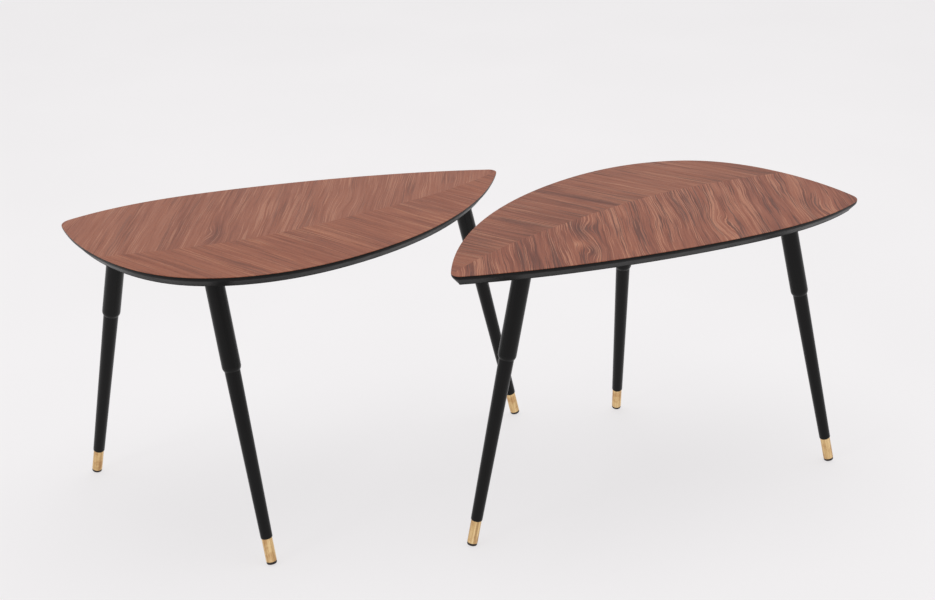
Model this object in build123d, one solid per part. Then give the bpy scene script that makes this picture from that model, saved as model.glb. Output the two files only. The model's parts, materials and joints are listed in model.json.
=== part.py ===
"""A pair of leaf-shaped side tables, each on three turned legs.

Both tables have the same board and the same leg. Each piece is modelled in the table's
own frame, where X runs from the base corner of the leaf to its tip, Y points to the
straighter side, Z is up and the floor is z = 0. The tables are then turned and set side
by side, with the middle of the pair's outer box on the origin.
"""
from build123d import *
import math
import os

# Board
table_height = 510.0
board_thickness = 20.0
veneer_thickness = 0.8
backing_thickness = 0.6
bevel_width = 12.5
bevel_height = 14.5
bevel_rounding = 10.0
base_corner_radius = 26.0
tip_corner_radius = 14.5

# Leaf outline in the table's own frame. The sides meet at the two corners.
base_corner = (-387, 19)
tip_corner = (389, 4)
round_side = [(-354, -125), (-244, -271), (-93, -315), (51, -293), (200, -222)]
straight_side = [(254, 38), (95, 62), (-90, 73), (-269, 60)]

# The two veneer sheets meet on this curve, from beyond the tip to beyond the round side.
midrib = [(430, 30), (268, -66), (97, -121), (-90, -161), (-345, -153), (-400, -148)]

# Leg, measured along its own axis from the bottom of the glide
leg_length = 492.5
upper_radius = 15.5
shoulder_foot = 344.0
shoulder_rise = 8.0
below_shoulder_radius = 12.8
above_ferrule_radius = 10.0
ferrule_top = 47.0
ferrule_radius = 9.0
ferrule_wall = 1.0
glide_thickness = 4.5
glide_radius = 8.7
glide_rounding = 1.6
glide_pin_radius = 1.5
glide_pin_length = 14.0

# Fixing at the top of each leg
bolt_radius = 4.0
bolt_clearance = 0.05
bolt_in_leg = 35.0
bolt_above_leg = 16.0
plate_side = 44.0
plate_thickness = 2.5
plate_corner_radius = 8.0
boss_radius = 16.5
boss_gap = 0.2
bolt_recess_radius = 9.0
bolt_recess_depth = 8.5
screw_spacing = 33.0
screw_head_radius = 3.6
screw_head_height = 2.0
screw_radius = 1.75
screw_length = 11.0
screw_point_radius = 0.3
screw_point_length = 2.5

# How far working blocks and cutters run past what they cut
cut_margin = 1.0
boss_overrun = 20.0
bore_length = 60.0
trim_block_side = 100.0
veneer_block_reach = 500.0

# Where each leg's axis meets the tabletop plane and the floor, in the table's frame
left_legs = {
    "base": ((-295.4, -30.5), (-382.4, 55.5)),
    "side": ((-179.4, -253.5), (-139.4, -351.5)),
    "tip": ((300.6, -20.5), (415.6, -12.5)),
}
right_legs = {
    "base": ((-258.2, -27.9), (-353.2, 41.1)),
    "side": ((-48.2, -212.9), (-95.2, -311.9)),
    "tip": ((251.4, -13.2), (359.8, -2.9)),
}

# Where each table stands, and how far its leaf is turned
tables = {
    "left": {"centre": (-306.4, 99.05), "turn": 20.6, "legs": left_legs},
    "right": {"centre": (342.1, -65.95), "turn": 206.5, "legs": right_legs},
}

underside = table_height - board_thickness
core_bottom = underside + backing_thickness
core_top = table_height - veneer_thickness

# A cylinder or cone standing on z = 0
standing = (Align.CENTER, Align.CENTER, Align.MIN)


def leaf_face(height):
    """The leaf outline as a level face at the given height."""
    near_side = Spline(base_corner, *round_side, tip_corner)
    far_side = Spline(tip_corner, *straight_side, base_corner)
    face = make_face([near_side, far_side])
    face = fillet(face.vertices().sort_by(Axis.X)[0], base_corner_radius)
    face = fillet(face.vertices().sort_by(Axis.X)[-1], tip_corner_radius)
    return Pos(0, 0, height) * face


def round_side_block():
    """Everything on the round side of the midrib, as a block through the veneer."""
    rib = Spline(*midrib)
    reach = veneer_block_reach
    sweep_round = Polyline(midrib[-1], (-reach, -reach), (reach, -reach), midrib[0])
    face = make_face([rib, sweep_round])
    return Pos(0, 0, core_top - cut_margin) * extrude(face, veneer_thickness + 2 * cut_margin)


def axis_plane(hip, foot):
    """The leg's own frame: origin at the bottom of its glide, Z up along the leg."""
    lean = Vector(foot[0] - hip[0], foot[1] - hip[1], 0)
    splay = math.atan2(lean.length, table_height)
    along = (Vector(*hip, table_height) - Vector(*foot, 0)).normalized()
    flat_part = glide_radius - glide_rounding
    rise = flat_part * math.sin(splay) + glide_rounding * (1 - math.cos(splay))
    start = Vector(*foot, 0) + along * (rise / math.cos(splay))
    return Plane(origin=start, x_dir=lean.cross(Vector(0, 0, 1)), z_dir=along)


def plate_frame(leg_plane):
    """A level frame where the leg's axis meets the underside, with X across the lean."""
    along = leg_plane.z_dir
    reach = (underside - leg_plane.origin.Z) / along.Z
    point = leg_plane.origin + along * reach
    return Plane(origin=point, x_dir=leg_plane.x_dir, z_dir=(0, 0, 1))


def ring_of_screws():
    """The four screw places of one plate."""
    return GridLocations(screw_spacing, screw_spacing, 2, 2)


def screw():
    """A countersunk wood screw, head down, with its head's flat face at z = 0."""
    head = extrude(Circle(screw_head_radius), screw_head_height, taper=42)
    shank = Cylinder(screw_radius, screw_length, align=standing)
    point = Pos(0, 0, screw_length) * Cone(
        screw_radius, screw_point_radius, screw_point_length, align=standing)
    return head + shank + point


def turned_leg():
    """The turned wooden leg: thick upper part, shoulder, taper and ferrule spigot."""
    spigot_radius = ferrule_radius - ferrule_wall
    spigot_end = glide_thickness + ferrule_wall
    shoulder_top = shoulder_foot + shoulder_rise
    outline = Polyline(
        (0, 0, leg_length),
        (0, 0, spigot_end),
        (spigot_radius, 0, spigot_end),
        (spigot_radius, 0, ferrule_top),
        (above_ferrule_radius - 1, 0, ferrule_top),
        (above_ferrule_radius, 0, ferrule_top + 1.5),
        (below_shoulder_radius, 0, shoulder_foot),
    )
    shoulder = ThreePointArc(
        (below_shoulder_radius, 0, shoulder_foot),
        (upper_radius - 0.9, 0, shoulder_foot + 0.4 * shoulder_rise),
        (upper_radius, 0, shoulder_top),
    )
    top = Polyline(
        (upper_radius, 0, shoulder_top),
        (upper_radius, 0, leg_length - 0.8),
        (upper_radius - 0.8, 0, leg_length),
        (0, 0, leg_length),
    )
    profile = make_face([outline, shoulder, top])
    leg = revolve(profile, Axis.Z)
    bolt_hole = Pos(0, 0, leg_length - bolt_in_leg) * Cylinder(
        bolt_radius, bolt_in_leg + cut_margin, align=standing)
    pin_hole = Cylinder(
        glide_pin_radius, glide_thickness + glide_pin_length, align=standing)
    return leg - bolt_hole - pin_hole


def ferrule():
    """The brass cup over the leg's lower end, with a hole for the glide's pin."""
    height = ferrule_top - glide_thickness
    cup = Cylinder(ferrule_radius, height, align=standing)
    cup = chamfer(cup.edges().group_by(Axis.Z)[0], 0.5)
    inside = Pos(0, 0, ferrule_wall) * Cylinder(
        ferrule_radius - ferrule_wall, height, align=standing)
    pin_hole = Cylinder(glide_pin_radius, 3 * ferrule_wall)
    return Pos(0, 0, glide_thickness) * (cup - inside - pin_hole)


def glide():
    """The round foot pad, with the pin that holds it in the leg."""
    pad = Cylinder(glide_radius, glide_thickness, align=standing)
    pad = fillet(pad.edges().group_by(Axis.Z)[0], glide_rounding)
    pin = Cylinder(
        glide_pin_radius, glide_thickness + glide_pin_length, align=standing)
    pin = split(pin, Plane.XY.offset(glide_thickness), keep=Keep.TOP)
    return pad + pin


def hanger_bolt():
    """The double-ended bolt in the leg's top, standing up into the plate's boss."""
    whole = bolt_in_leg + bolt_above_leg
    bolt = Cylinder(bolt_radius, whole, align=standing)
    bolt = chamfer(bolt.edges().group_by(Axis.Z)[-1], 1.0)
    return Pos(0, 0, leg_length - bolt_in_leg) * bolt


def plate_blank(thickness):
    """The plate's outline as a block standing on the underside plane."""
    return extrude(RectangleRounded(plate_side, plate_side, plate_corner_radius), thickness)


def mounting_plate(leg_plane):
    """The steel plate let into the underside, with its tilted boss and threaded bore."""
    level = plate_frame(leg_plane)
    reach = (leg_plane.z_dir.dot(level.origin - leg_plane.origin)) - leg_length
    boss = Pos(0, 0, leg_length + boss_gap) * Cylinder(
        boss_radius, reach + boss_overrun, align=standing)
    boss = chamfer(boss.edges().group_by(Axis.Z)[0], 0.8)
    block = Box(trim_block_side, trim_block_side, trim_block_side)
    below_top = level.location * Pos(0, 0, plate_thickness - trim_block_side / 2) * block
    boss = (leg_plane.location * boss) & below_top
    bore = Cylinder(bolt_radius + bolt_clearance, bore_length)
    bore = leg_plane.location * Pos(0, 0, leg_length) * bore
    plate = level.location * plate_blank(plate_thickness) + boss - bore
    for place in ring_of_screws():
        plate -= level.location * place * screw()
    return plate


def plate_screws(leg_plane):
    """The four screws of one plate, as separate solids in one group."""
    level = plate_frame(leg_plane)
    return Compound([level.location * place * screw() for place in ring_of_screws()])


def board_cuts(leg_plane):
    """What one leg fixing takes out of the board: plate recess, bolt recess, screw holes."""
    level = plate_frame(leg_plane)
    deep = Pos(0, 0, plate_thickness - 0.1) * Cylinder(
        bolt_recess_radius, bolt_recess_depth, align=standing)
    recess = Pos(0, 0, -cut_margin) * plate_blank(plate_thickness + cut_margin)
    cuts = [level.location * recess, level.location * deep]
    for place in ring_of_screws():
        cuts.append(level.location * place * screw())
    return cuts


def core_blank():
    """The board's core before its cuts: upright at the top, then bevelled inward."""
    core = extrude(leaf_face(core_bottom), core_top - core_bottom)
    bottom = core.faces().sort_by(Axis.Z)[0]
    core = chamfer(bottom.edges(), bevel_width, bevel_height, reference=bottom)
    bend_height = core_bottom + bevel_height
    level_edges = core.edges().filter_by(lambda edge: edge.bounding_box().size.Z < 0.01)
    bend = level_edges.filter_by(lambda edge: abs(edge.center().Z - bend_height) < 0.2)
    return fillet(bend, bevel_rounding)


def board(leg_planes):
    """The top board as four pieces: core, two veneer halves and backing sheet."""
    core = core_blank()
    flat_bottom = core.faces().sort_by(Axis.Z)[0]
    backing = extrude(flat_bottom, backing_thickness, dir=(0, 0, -1))
    for plane in leg_planes:
        for cut in board_cuts(plane):
            core -= cut
            backing -= cut
    sheet = extrude(leaf_face(core_top), veneer_thickness)
    block = round_side_block()
    return {
        "core": core,
        "veneer_straight_half": sheet - block,
        "veneer_round_half": sheet & block,
        "backing_sheet": backing,
    }


def table_pieces(legs):
    """Every piece of one table in the table's own frame, by name."""
    planes = {place: axis_plane(*ends) for place, ends in legs.items()}
    pieces = {f"top_{name}": shape for name, shape in board(planes.values()).items()}
    for place, plane in planes.items():
        pieces[f"{place}_leg"] = plane.location * turned_leg()
        pieces[f"{place}_leg_ferrule"] = plane.location * ferrule()
        pieces[f"{place}_leg_glide"] = plane.location * glide()
        pieces[f"{place}_leg_bolt"] = plane.location * hanger_bolt()
        pieces[f"{place}_mounting_plate"] = mounting_plate(plane)
        pieces[f"{place}_plate_screws"] = plate_screws(plane)
    return pieces


def placed_pieces():
    """Both tables set side by side, centred on the origin."""
    placed = {}
    for side, table in tables.items():
        spot = Pos(*table["centre"], 0) * Rot(0, 0, table["turn"])
        for name, shape in table_pieces(table["legs"]).items():
            placed[f"{side}_{name}"] = spot * shape
    box = Compound(list(placed.values())).bounding_box()
    middle = box.center()
    return {name: Pos(-middle.X, -middle.Y, 0) * shape for name, shape in placed.items()}, middle


if __name__ == "__main__":
    os.makedirs("parts", exist_ok=True)
    finished, centre_shift = placed_pieces()
    for node, shape in finished.items():
        export_step(shape, f"parts/{node}.step")
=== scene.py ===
"""Looks of the pair of leaf-shaped side tables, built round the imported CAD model.

The boards, legs, ferrules and plates stay CAD nodes with procedural materials. The screws and
hanger bolts are rebuilt with their recesses and threads. All lengths are in metres unless a
name ends in _mm.
"""
import json
import math

import bmesh
import bpy
import numpy as np
from mathutils import Matrix, Vector


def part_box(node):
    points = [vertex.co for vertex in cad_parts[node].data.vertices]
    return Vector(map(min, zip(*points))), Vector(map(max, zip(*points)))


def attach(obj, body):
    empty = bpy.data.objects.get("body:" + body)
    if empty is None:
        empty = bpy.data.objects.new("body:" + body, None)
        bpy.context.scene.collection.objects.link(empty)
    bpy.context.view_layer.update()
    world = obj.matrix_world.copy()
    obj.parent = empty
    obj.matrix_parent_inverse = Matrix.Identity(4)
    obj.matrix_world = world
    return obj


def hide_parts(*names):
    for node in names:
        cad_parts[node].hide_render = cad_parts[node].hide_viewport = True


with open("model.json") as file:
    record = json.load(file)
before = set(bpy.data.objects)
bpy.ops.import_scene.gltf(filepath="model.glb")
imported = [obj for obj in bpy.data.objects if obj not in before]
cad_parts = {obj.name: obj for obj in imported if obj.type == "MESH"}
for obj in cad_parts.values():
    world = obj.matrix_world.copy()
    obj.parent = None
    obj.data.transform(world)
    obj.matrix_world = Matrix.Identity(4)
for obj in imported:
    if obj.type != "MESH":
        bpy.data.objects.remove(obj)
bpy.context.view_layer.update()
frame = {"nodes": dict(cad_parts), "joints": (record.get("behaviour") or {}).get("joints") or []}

SIDES = ("left", "right")
PLACES = ("base", "side", "tip")
MM = 0.001

# Each leg's axis, pointing down, by side and place
LEG_AXIS = {}
for joint in frame["joints"]:
    words = joint["name"].split("_")
    if words[-1] == "unscrew":
        LEG_AXIS[words[0], words[1]] = joint["axis"]

# How each table stands: the middle of its leaf and the turn of its long axis from +X
TABLE_CENTRE = {"left": (-0.3064, 0.0990, 0.0), "right": (0.3421, -0.0660, 0.0)}
TABLE_TURN = {"left": math.radians(20.6), "right": math.radians(206.5)}

# Grain direction of the two veneer halves, from the leaf's long axis
GRAIN_TURN = {"straight": math.radians(69), "round": math.radians(124)}

# Size of one streak of each kind, in mm: its length along the grain and its width across
STREAKS = {"wander": (210, 80), "ripple": (38, 15), "band": (420, 38), "streak": (170, 6.0),
           "fibre": (60, 1.2), "pore": (5.5, 0.42), "dark line": (110, 2.2),
           "pale line": (130, 1.7)}

# Walnut under lacquer, from its darkest lines to its palest
DARK_WOOD = (0.100, 0.031, 0.019)
MID_WOOD = (0.300, 0.098, 0.050)
PALE_WOOD = (0.52, 0.245, 0.145)

# Camera: the two tables seen from the front and above
CAMERA_PLACE = (0.1292, -2.3955, 1.4829)
CAMERA_PITCH = math.radians(24.73)
CAMERA_LENS_MM = 58.5
CAMERA_SHIFT = (-0.0738, -0.0129)

# Floor: half its side, and how strongly it glows
FLOOR_REACH = 30
FLOOR_GLOW = 0.677


class Graph:
    """Short calls for building one material's node tree. Each call returns a socket."""

    def __init__(self, name):
        self.material = bpy.data.materials.new(name)
        self.material.use_nodes = True
        self.tree = self.material.node_tree
        self.shader = self.tree.nodes["Principled BSDF"]

    def put(self, kind, inputs=(), **settings):
        """Add a node, set its properties, and feed its inputs with values or sockets."""
        made = self.tree.nodes.new(kind)
        for key, value in settings.items():
            setattr(made, key, value)
        for key, value in dict(inputs).items():
            self.feed(made.inputs[key], value)
        return made

    def feed(self, socket, value):
        if isinstance(value, bpy.types.NodeSocket):
            self.tree.links.new(value, socket)
        else:
            socket.default_value = value

    def math(self, operation, a, b=0.0, c=0.0):
        return self.put("ShaderNodeMath", {0: a, 1: b, 2: c}, operation=operation).outputs[0]

    def place(self, vector, location=(0, 0, 0), rotation=(0, 0, 0), scale=(1, 1, 1), kind="POINT"):
        inputs = {"Vector": vector, "Location": location, "Rotation": rotation, "Scale": scale}
        return self.put("ShaderNodeMapping", inputs, vector_type=kind).outputs[0]

    def noise(self, vector, scale=1.0, detail=2.0, roughness=0.5):
        inputs = {"Vector": vector, "Scale": scale, "Detail": detail, "Roughness": roughness}
        return self.put("ShaderNodeTexNoise", inputs).outputs[0]

    def ramp(self, factor, stops, interpolation="EASE"):
        """A colour ramp. A stop is (position, grey value) or (position, colour)."""
        made = self.put("ShaderNodeValToRGB", {"Fac": factor})
        made.color_ramp.interpolation = interpolation
        elements = made.color_ramp.elements
        while len(elements) < len(stops):
            elements.new(0.5)
        for element, (position, value) in zip(elements, stops):
            element.position = position
            grey = isinstance(value, (int, float))
            element.color = (value, value, value, 1) if grey else (*value, 1)
        return made.outputs[0]

    def mix(self, factor, a, b, blend="MIX"):
        made = self.put("ShaderNodeMix", data_type="RGBA", blend_type=blend)
        for socket, value in zip((made.inputs[0], made.inputs[6], made.inputs[7]), (factor, a, b)):
            self.feed(socket, (*value, 1) if isinstance(value, tuple) else value)
        return made.outputs[2]

    def split(self, vector):
        made = self.put("ShaderNodeSeparateXYZ", {0: vector})
        return made.outputs[0], made.outputs[1], made.outputs[2]

    def join(self, x, y, z=0.0):
        return self.put("ShaderNodeCombineXYZ", {0: x, 1: y, 2: z}).outputs[0]

    def object_place(self):
        return self.put("ShaderNodeTexCoord").outputs["Object"]

    def bump(self, height, distance, strength):
        inputs = {"Height": height, "Distance": distance, "Strength": strength}
        return self.put("ShaderNodeBump", inputs).outputs[0]

    def finish(self, **inputs):
        """Feed the shader's inputs and return the material."""
        names = {"color": "Base Color", "roughness": "Roughness", "metallic": "Metallic",
                 "normal": "Normal", "specular": "Specular IOR Level"}
        for key, value in inputs.items():
            value = (*value, 1) if isinstance(value, tuple) else value
            self.feed(self.shader.inputs[names[key]], value)
        return self.material


def grain_line(g, along, across, seed, length, width, detail=2.0):
    """Noise drawn out along the grain: length and width in mm are the size of one streak."""
    vector = g.join(g.math("DIVIDE", along, length), g.math("DIVIDE", across, width), seed)
    return g.noise(vector, 1.0, detail)


def hill(g, x, y, place, size):
    """A soft hill, 1 at place and 0 far from it; size is its half-width along x and y."""
    u = g.math("DIVIDE", g.math("SUBTRACT", x, place[0]), size[0])
    v = g.math("DIVIDE", g.math("SUBTRACT", y, place[1]), size[1])
    square = g.math("ADD", g.math("MULTIPLY", u, u), g.math("MULTIPLY", v, v))
    return g.math("POWER", math.e, g.math("MULTIPLY", square, -1.0))


def to_grain(place, turn):
    """A place on the leaf, in mm, as (along, across) the grain."""
    c, s = math.cos(turn), math.sin(turn)
    return place[0] * c + place[1] * s, place[1] * c - place[0] * s


def lines(g, along, ring, seed, length, width, threshold):
    """Sparse thin lines along the grain, 1 on a line, gathered into bands."""
    fine = grain_line(g, along, ring, seed, length, width, 1.5)
    band = grain_line(g, along, ring, seed + 5.7, 1.8 * length, 12 * width, 1.0)
    level = g.math("MULTIPLY_ADD", g.math("SUBTRACT", band, 0.5), 0.6, fine)
    return g.ramp(level, [(threshold, 0.0), (threshold + 0.07, 1.0)])


def veneer(side, half, look):
    """Satin-lacquered walnut with the half's own grain direction and figure."""
    g = Graph(f"walnut_{side}_{half}")
    turn = GRAIN_TURN[half]
    seed = look["seed"]
    contrast = look["contrast"]
    leaf_turn = (0, 0, TABLE_TURN[side])
    leaf = g.place(g.object_place(), TABLE_CENTRE[side], leaf_turn, (MM, MM, MM), "TEXTURE")
    along, across, _ = g.split(g.place(leaf, rotation=(0, 0, turn), kind="TEXTURE"))

    # The grain wanders, ripples, and swells round each figure.
    wander = g.math("SUBTRACT", grain_line(g, along, across, seed, *STREAKS["wander"]), 0.5)
    ripple = g.math("SUBTRACT", grain_line(g, along, across, seed + 3.1, *STREAKS["ripple"]), 0.5)
    ring = g.math("MULTIPLY_ADD", wander, look["wander"], across)
    ring = g.math("MULTIPLY_ADD", ripple, look["ripple"], ring)
    shade = 0.0
    for place, size, height, dark in look["figures"]:
        swell = hill(g, along, across, to_grain(place, turn), size)
        ring = g.math("MULTIPLY_ADD", swell, height, ring)
        shade = g.math("MULTIPLY_ADD", swell, dark, shade)

    band = grain_line(g, along, ring, seed + 7.7, *STREAKS["band"], 2.0)
    streak = grain_line(g, along, ring, seed + 12.3, *STREAKS["streak"], 4.0)
    fibre = grain_line(g, along, ring, seed + 21.9, *STREAKS["fibre"], 2.0)
    pore = grain_line(g, along, across, seed + 44.1, *STREAKS["pore"], 1.0)
    dark_lines = lines(g, along, ring, seed + 31.4, *STREAKS["dark line"], look["dark_from"])
    pale_lines = lines(g, along, ring, seed + 57.2, *STREAKS["pale line"], look["pale_from"])

    # Tone adds up around one half: bands, streaks and fibre, then the figures' own shade.
    tone = g.math("MULTIPLY_ADD", g.math("SUBTRACT", band, 0.5), 1.0 * contrast, 0.5)
    tone = g.math("MULTIPLY_ADD", g.math("SUBTRACT", streak, 0.5), 1.1 * contrast, tone)
    tone = g.math("MULTIPLY_ADD", g.math("SUBTRACT", fibre, 0.5), 0.5, tone)
    tone = g.math("SUBTRACT", tone, shade)
    body = g.ramp(tone, [(0.0, DARK_WOOD), (0.28, (0.210, 0.062, 0.032)), (0.5, MID_WOOD),
                         (0.72, (0.362, 0.137, 0.074)), (1.0, PALE_WOOD)], "LINEAR")
    body = g.mix(g.math("MULTIPLY", dark_lines, look["dark"]), body, DARK_WOOD)
    body = g.mix(g.math("MULTIPLY", pale_lines, look["pale"]), body, PALE_WOOD)
    pores = g.ramp(pore, [(0.30, 0.60), (0.40, 1.0)])
    body = g.mix(1.0, body, pores, "MULTIPLY")
    body = g.mix(1.0, body, look["tint"], "MULTIPLY")

    relief = g.math("MULTIPLY_ADD", pores, 0.7, g.math("MULTIPLY", fibre, 0.3))
    rough = g.ramp(streak, [(0.3, 0.46), (0.7, 0.38)], "LINEAR")
    return g.finish(color=body, roughness=rough, specular=0.26, normal=g.bump(relief, 0.00005, 0.4))


def black_stain(name, axis, tone=0.0025, rough=0.28, specular=0.20):
    """Black-stained wood under satin lacquer, with faint grain along the axis."""
    g = Graph(name)
    upright = Vector((0, 0, 1)).rotation_difference(Vector(axis)).to_euler()
    local = g.place(g.object_place(), rotation=tuple(upright), kind="TEXTURE")
    grain = g.noise(g.place(local, scale=(900, 900, 14)), 1.0, 3.0)
    broad = g.noise(g.place(local, scale=(60, 60, 6)), 1.0, 2.0)
    low, high = tone * 0.7, tone * 1.5
    color = g.ramp(grain, [(0.3, (low, low * 0.92, low * 0.90)), (0.7, (high, high * 0.92, high * 0.90))])
    roughness = g.ramp(broad, [(0.3, rough - 0.05), (0.7, rough + 0.06)], "LINEAR")
    relief = g.bump(grain, 0.00006, 0.35)
    return g.finish(color=color, roughness=roughness, specular=specular, normal=relief)


def brass(name, axis):
    """Satin brass: brushing and painted reflection bands along the leg, faint turned rings, painted
    darker shade.
    """
    g = Graph(name)
    upright = Vector((0, 0, 1)).rotation_difference(Vector(axis)).to_euler()
    local = g.place(g.object_place(), rotation=tuple(upright), kind="TEXTURE")
    # Light and dark streaks along the leg: partly brushing marks, partly painted reflection bands.
    brushing_and_reflection_bands = g.noise(g.place(local, scale=(210, 210, 9)), 1.0, 2.0)
    rings = g.noise(g.place(local, scale=(20, 20, 1500)), 1.0, 2.0)
    # Darker patches at random, multiplied into the colour: painted shade.
    shade_patches = g.noise(local, 60.0, 3.0, 0.6)
    color = g.ramp(brushing_and_reflection_bands, [(0.32, (0.52, 0.330, 0.155)), (0.50, (0.73, 0.500, 0.240)),
                           (0.66, (0.90, 0.670, 0.360))])
    painted_shade = g.ramp(shade_patches, [(0.36, (0.80, 0.70, 0.66)), (0.56, (1.0, 1.0, 1.0))])
    color = g.mix(1.0, color, painted_shade, "MULTIPLY")
    rough = g.ramp(rings, [(0.3, 0.20), (0.7, 0.28)], "LINEAR")
    return g.finish(color=color, metallic=1.0, roughness=rough, normal=g.bump(rings, 0.00001, 0.3))


def plastic(name, color):
    """Dull moulded plastic with a fine pitted skin."""
    g = Graph(name)
    pits = g.noise(g.object_place(), 2400.0, 2.0)
    rough = g.ramp(pits, [(0.3, 0.5), (0.7, 0.62)], "LINEAR")
    return g.finish(color=color, roughness=rough, normal=g.bump(pits, 0.00003, 0.5))


def powder_coat():
    """Black powder-coated steel with an orange-peel skin."""
    g = Graph("black_powder_coat")
    peel = g.noise(g.object_place(), 1100.0, 2.0)
    tone = g.ramp(peel, [(0.3, 0.012), (0.7, 0.02)])
    return g.finish(color=tone, roughness=0.48, normal=g.bump(peel, 0.00006, 0.5))


def zinc():
    """Bright zinc plate with faint clouding."""
    g = Graph("bright_zinc")
    cloud = g.noise(g.object_place(), 260.0, 4.0, 0.6)
    color = g.ramp(cloud, [(0.35, (0.48, 0.49, 0.50)), (0.65, (0.66, 0.67, 0.66))])
    rough = g.ramp(cloud, [(0.35, 0.34), (0.65, 0.24)], "LINEAR")
    return g.finish(color=color, metallic=1.0, roughness=rough)


def dress(node, material):
    """Give a CAD node its material."""
    mesh = frame["nodes"][node].data
    mesh.materials.clear()
    mesh.materials.append(material)


# What each half of veneer shows. A figure is (place on the leaf in mm, half-size in mm along
# and across the grain, how far the grain bends round it in mm, how much darker it is).
LOOKS = {
    ("left", "straight"): {
        "seed": 0.0, "contrast": 0.44, "wander": 16, "ripple": 3.0,
        "dark_from": 0.60, "dark": 0.34, "pale_from": 0.59, "pale": 0.42,
        "tint": (1.0, 0.98, 1.0),
        "figures": [((-150, -122), (44, 15), 12, 0.24), ((-126, -100), (34, 10), -6, -0.12),
                    ((100, -40), (60, 18), 10, -0.06)]},
    ("left", "round"): {
        "seed": 5.3, "contrast": 0.55, "wander": 12, "ripple": 2.4,
        "dark_from": 0.60, "dark": 0.45, "pale_from": 0.60, "pale": 0.48,
        "tint": (0.97, 0.87, 0.80),
        "figures": [((-90, -180), (26, 8), 5, -0.34), ((0, -205), (70, 9), 6, 0.10)]},
    ("right", "straight"): {
        "seed": 11.9, "contrast": 0.84, "wander": 20, "ripple": 5.0,
        "dark_from": 0.56, "dark": 0.72, "pale_from": 0.57, "pale": 0.68,
        "tint": (0.96, 0.86, 0.83),
        "figures": [((170, -30), (110, 90), 0, 0.09), ((112, -78), (30, 18), 10, 0.32),
                    ((138, 10), (26, 14), -8, 0.26), ((147, -24), (17, 11), -4, -0.40),
                    ((-104, -5), (62, 24), 15, -0.18), ((-140, 22), (54, 10), -3, 0.22),
                    ((-84, 38), (50, 7), 0, -0.18), ((-300, 10), (60, 26), 18, 0.0),
                    ((310, -10), (90, 60), 0, 0.16)]},
    ("right", "round"): {
        "seed": 17.2, "contrast": 0.66, "wander": 13, "ripple": 3.0,
        "dark_from": 0.57, "dark": 0.65, "pale_from": 0.61, "pale": 0.50,
        "tint": (0.93, 0.88, 0.85),
        "figures": [((200, -150), (60, 8), 6, 0.30), ((40, -185), (90, 8), -5, 0.24),
                    ((250, -120), (90, 60), 0, 0.07)]},
}


# Wood screws of the plates and hanger bolts of the legs, in mm
SCREW_SPACING = 33.0
SCREW_PROFILE = [(0.0, 3.45), (0.25, 3.45), (2.0, 1.5), (2.6, 1.3), (11.0, 1.3), (13.3, 0.15)]
SCREW_THREAD = [(2.6, 0.0), (3.4, 0.4), (11.0, 0.4), (13.0, 0.1)]
SCREW_PITCH = 1.3
SCREW_SIDES = 24
SCREW_RINGS_A_TURN = 5
RECESS_REACH = 1.9
RECESS_HALF_WIDTH = 0.42
RECESS_DEPTH = 1.5
BOLT_LENGTH = 51.0
BOLT_PROFILE = [(0.0, 1.6), (2.5, 3.1), (31.0, 3.1), (33.0, 3.7), (37.0, 3.7), (38.0, 3.3),
                (50.2, 3.3), (50.9, 2.9)]
BOLT_THREAD = [(0.5, 0.2), (3.0, 0.8), (30.0, 0.8), (32.0, 0.0), (37.5, 0.0), (39.0, 0.6),
               (49.5, 0.6), (50.8, 0.1)]
BOLT_PITCH = 1.7
BOLT_SIDES = 18
BOLT_RINGS_A_TURN = 6

# Each screw of a plate is driven to its own angle, and edges sharper than this stay sharp
SCREW_OWN_TURN = math.radians(37)
SHARP_ANGLE = math.radians(35)


def ring_of(mesh, radius_at, height, sides):
    """One ring of points at a height; radius_at gives the radius at an angle."""
    points = []
    for step in range(sides):
        angle = 2 * math.pi * step / sides
        radius = radius_at(angle)
        points.append(mesh.verts.new((radius * math.cos(angle), radius * math.sin(angle), height)))
    return points


def threaded(mesh, profile, thread, pitch, sides, per_turn):
    """A turned rod with a helical thread. Returns its first ring, whose end is left open."""
    heights, radii = zip(*profile)
    thread_heights, depths = zip(*thread)
    start = thread_heights[0]
    levels = [z for z in heights if z < start]
    levels += list(np.arange(start, heights[-1], pitch / per_turn)) + [heights[-1]]
    rings = []
    for z in levels:
        core = float(np.interp(z, heights, radii))
        depth = float(np.interp(z, thread_heights, depths)) if z >= start else 0.0

        def radius_at(angle, z=z, core=core, depth=depth):
            phase = (z / pitch - angle / (2 * math.pi)) % 1.0
            return core + depth * (1.0 - abs(2.0 * phase - 1.0))
        rings.append(ring_of(mesh, radius_at, z, sides))
    for low, high in zip(rings, rings[1:]):
        for step in range(sides):
            after = (step + 1) % sides
            mesh.faces.new((low[step], low[after], high[after], high[step]))
    mesh.faces.new(rings[-1])
    return rings[0]


def cross_ring(mesh, reach, half_width, height):
    """The twelve corners of a cross recess."""
    corners = []
    for quarter in range(4):
        turn = Matrix.Rotation(quarter * math.pi / 2, 3, "Z")
        for x, y in ((reach, -half_width), (reach, half_width), (half_width, half_width)):
            corners.append(mesh.verts.new(turn @ Vector((x, y, height))))
    return corners


def join_ring(mesh, corners):
    """The edges that close a ring of points."""
    pairs = zip(corners, corners[1:] + corners[:1])
    return [mesh.edges.get(pair) or mesh.edges.new(pair) for pair in pairs]


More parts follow.
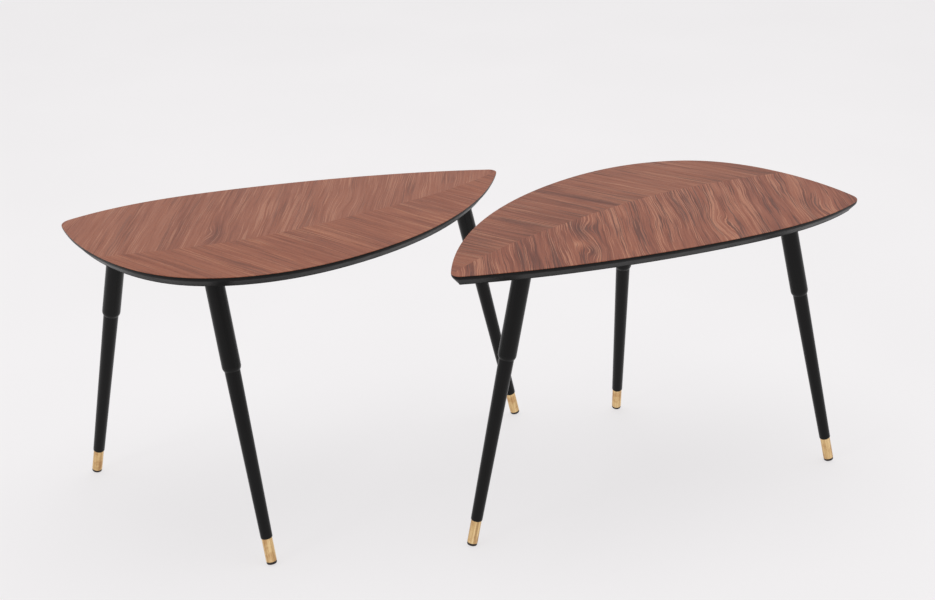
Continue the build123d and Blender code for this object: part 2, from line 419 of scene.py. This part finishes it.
def wood_screw():
    """A countersunk screw with a cross recess: head face at z = 0, shank upward."""
    mesh = bmesh.new()
    rim = threaded(mesh, SCREW_PROFILE, SCREW_THREAD, SCREW_PITCH, SCREW_SIDES, SCREW_RINGS_A_TURN)
    mouth = cross_ring(mesh, RECESS_REACH, RECESS_HALF_WIDTH, 0.0)
    bottom = cross_ring(mesh, 0.5 * RECESS_REACH, 0.7 * RECESS_HALF_WIDTH, RECESS_DEPTH)
    middle = mesh.verts.new((0, 0, 1.2 * RECESS_DEPTH))
    for step in range(len(mouth)):
        after = (step + 1) % len(mouth)
        mesh.faces.new((mouth[step], bottom[step], bottom[after], mouth[after]))
        mesh.faces.new((bottom[step], middle, bottom[after]))
    outline = join_ring(mesh, rim) + join_ring(mesh, mouth)
    bmesh.ops.triangle_fill(mesh, edges=outline, use_beauty=True)
    bmesh.ops.recalc_face_normals(mesh, faces=mesh.faces)
    return mesh


def hanger_bolt():
    """Wood thread below, plain collar, machine thread above."""
    mesh = bmesh.new()
    rim = threaded(mesh, BOLT_PROFILE, BOLT_THREAD, BOLT_PITCH, BOLT_SIDES, BOLT_RINGS_A_TURN)
    mesh.faces.new(rim)
    bmesh.ops.recalc_face_normals(mesh, faces=mesh.faces)
    return mesh


def add_piece(name, source, places, material, body, node):
    """Copies of one mesh at the given places, joined as one piece that stands for a node."""
    joined = bmesh.new()
    for place in places:
        part = source.copy()
        part.transform(place @ Matrix.Scale(MM, 4))
        data = bpy.data.meshes.new("part")
        part.to_mesh(data)
        joined.from_mesh(data)
        part.free()
        bpy.data.meshes.remove(data)
    data = bpy.data.meshes.new(name)
    joined.to_mesh(data)
    joined.free()
    for face in data.polygons:
        face.use_smooth = True
    data.set_sharp_from_angle(angle=SHARP_ANGLE)
    data.materials.append(material)
    piece = bpy.data.objects.new(name, data)
    bpy.context.scene.collection.objects.link(piece)
    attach(piece, body)
    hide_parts(node)


def screw_places(node, lean):
    """Where the four screws of one plate stand: a square turned with the leg's lean."""
    low, high = (Vector(corner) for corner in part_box(node))
    middle = Vector(((low.x + high.x) / 2, (low.y + high.y) / 2, low.z))
    turn = Matrix.Rotation(math.atan2(lean[1], lean[0]), 4, "Z")
    half = SCREW_SPACING / 2 * MM
    places = []
    for x, y in ((-half, -half), (half, -half), (half, half), (-half, half)):
        own_turn = Matrix.Rotation(len(places) * SCREW_OWN_TURN, 4, "Z")
        places.append(Matrix.Translation(middle) @ turn @ Matrix.Translation((x, y, 0)) @ own_turn)
    return places


def bolt_place(node, lean):
    """Where one hanger bolt stands: on the leg's axis, through the middle of its node."""
    low, high = (Vector(corner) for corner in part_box(node))
    up = -Vector(lean).normalized()
    turn = Vector((0, 0, 1)).rotation_difference(up).to_matrix().to_4x4()
    return Matrix.Translation((low + high) / 2 - up * (BOLT_LENGTH / 2 * MM)) @ turn


def add_fasteners():
    """Screws and hanger bolts with their recesses and threads."""
    plated = zinc()
    screw = wood_screw()
    bolt = hanger_bolt()
    for (side, place), lean in LEG_AXIS.items():
        node = f"{side}_{place}_plate_screws"
        add_piece(f"{side}_{place}_cross_screws", screw, screw_places(node, lean), plated,
                  f"{side}_table", node)
        node = f"{side}_{place}_leg_bolt"
        add_piece(f"{side}_{place}_threaded_bolt", bolt, [bolt_place(node, lean)], plated,
                  f"{side}_{place}_leg_assembly", node)
    screw.free()
    bolt.free()


def dress_tables():
    glide = plastic("dark_glide", (0.020, 0.012, 0.010))
    coat = powder_coat()
    backing = black_stain("backing_sheet", (1, 0, 0), 0.014, 0.6)
    board = black_stain("board_edge", (1, 0, 0), 0.0045, 0.36, 0.125)
    for side in SIDES:
        dress(f"{side}_top_core", board)
        dress(f"{side}_top_backing_sheet", backing)
        for half in GRAIN_TURN:
            dress(f"{side}_top_veneer_{half}_half", veneer(side, half, LOOKS[side, half]))
        for place in PLACES:
            axis = [-x for x in LEG_AXIS[side, place]]
            dress(f"{side}_{place}_leg", black_stain(f"stained_leg_{side}_{place}", axis))
            dress(f"{side}_{place}_mounting_plate", coat)
            dress(f"{side}_{place}_leg_ferrule", brass(f"satin_brass_{side}_{place}", axis))
            dress(f"{side}_{place}_leg_glide", glide)


def make_camera():
    data = bpy.data.cameras.new("camera")
    data.sensor_width = 36
    data.lens = CAMERA_LENS_MM
    data.shift_x, data.shift_y = CAMERA_SHIFT
    camera = bpy.data.objects.new("camera", data)
    camera.location = CAMERA_PLACE
    camera.rotation_euler = (math.pi / 2 - CAMERA_PITCH, 0, 0)
    bpy.context.scene.collection.objects.link(camera)
    bpy.context.scene.camera = camera


def area_light(name, place, aim, size, power):
    data = bpy.data.lights.new(name, "AREA")
    data.shape = "RECTANGLE"
    data.size, data.size_y = size
    data.energy = power
    lamp = bpy.data.objects.new(name, data)
    lamp.location = place
    direction = Vector(aim) - Vector(place)
    lamp.rotation_euler = direction.to_track_quat("-Z", "Y").to_euler()
    bpy.context.scene.collection.objects.link(lamp)


def make_world():
    """An even pale surround, dimmer behind the camera, so that round things show an edge."""
    world = bpy.data.worlds.new("studio")
    bpy.context.scene.world = world
    world.use_nodes = True
    tree = world.node_tree
    direction = tree.nodes.new("ShaderNodeTexCoord").outputs["Generated"]
    parts = tree.nodes.new("ShaderNodeSeparateXYZ")
    tree.links.new(direction, parts.inputs[0])
    both = tree.nodes.new("ShaderNodeMath")
    both.operation = "MULTIPLY"
    # (output of the direction, what it runs between, what strength that gives)
    falloffs = ((1, -1.0, 0.3, 0.35, 1.0), (2, 0.28, 0.62, 0.87, 0.70))
    for place, (source, near, far, low, high) in enumerate(falloffs):
        ramp = tree.nodes.new("ShaderNodeMapRange")
        ramp.interpolation_type = "SMOOTHSTEP"
        tree.links.new(parts.outputs[source], ramp.inputs["Value"])
        for name, value in {"From Min": near, "From Max": far, "To Min": low, "To Max": high}.items():
            ramp.inputs[name].default_value = value
        tree.links.new(ramp.outputs[0], both.inputs[place])
    background = tree.nodes["Background"]
    background.inputs["Color"].default_value = (1.0, 0.99, 0.995, 1)
    tree.links.new(both.outputs[0], background.inputs["Strength"])


def make_floor():
    """A pale sweep that glows a little, as a lit table does, so that shadows stay faint."""
    mesh = bpy.data.meshes.new("floor")
    signs = ((-1, -1), (1, -1), (1, 1), (-1, 1))
    corners = [(x * FLOOR_REACH, y * FLOOR_REACH, 0) for x, y in signs]
    mesh.from_pydata(corners, [], [(0, 1, 2, 3)])
    floor = bpy.data.objects.new("floor", mesh)
    bpy.context.scene.collection.objects.link(floor)
    g = Graph("pale_floor")
    cloud = g.noise(g.object_place(), 1.5, 2.0)
    color = g.ramp(cloud, [(0.3, (0.235, 0.232, 0.234)), (0.7, (0.250, 0.247, 0.249))])
    g.shader.inputs["Emission Color"].default_value = (1.0, 0.981, 0.990, 1)
    g.shader.inputs["Emission Strength"].default_value = FLOOR_GLOW
    mesh.materials.append(g.finish(color=color, roughness=0.8, specular=0.05))


def make_studio():
    make_world()
    make_floor()
    area_light("overhead", (0.2, 0.4, 3.2), (0, 0, 0), (2.4, 2.4), 34)
    area_light("window", (-2.6, -2.2, 2.0), (0, 0, 0.3), (0.9, 2.0), 14)


make_camera()
make_studio()
dress_tables()
add_fasteners()

bpy.context.scene.view_settings.view_transform = "Standard"
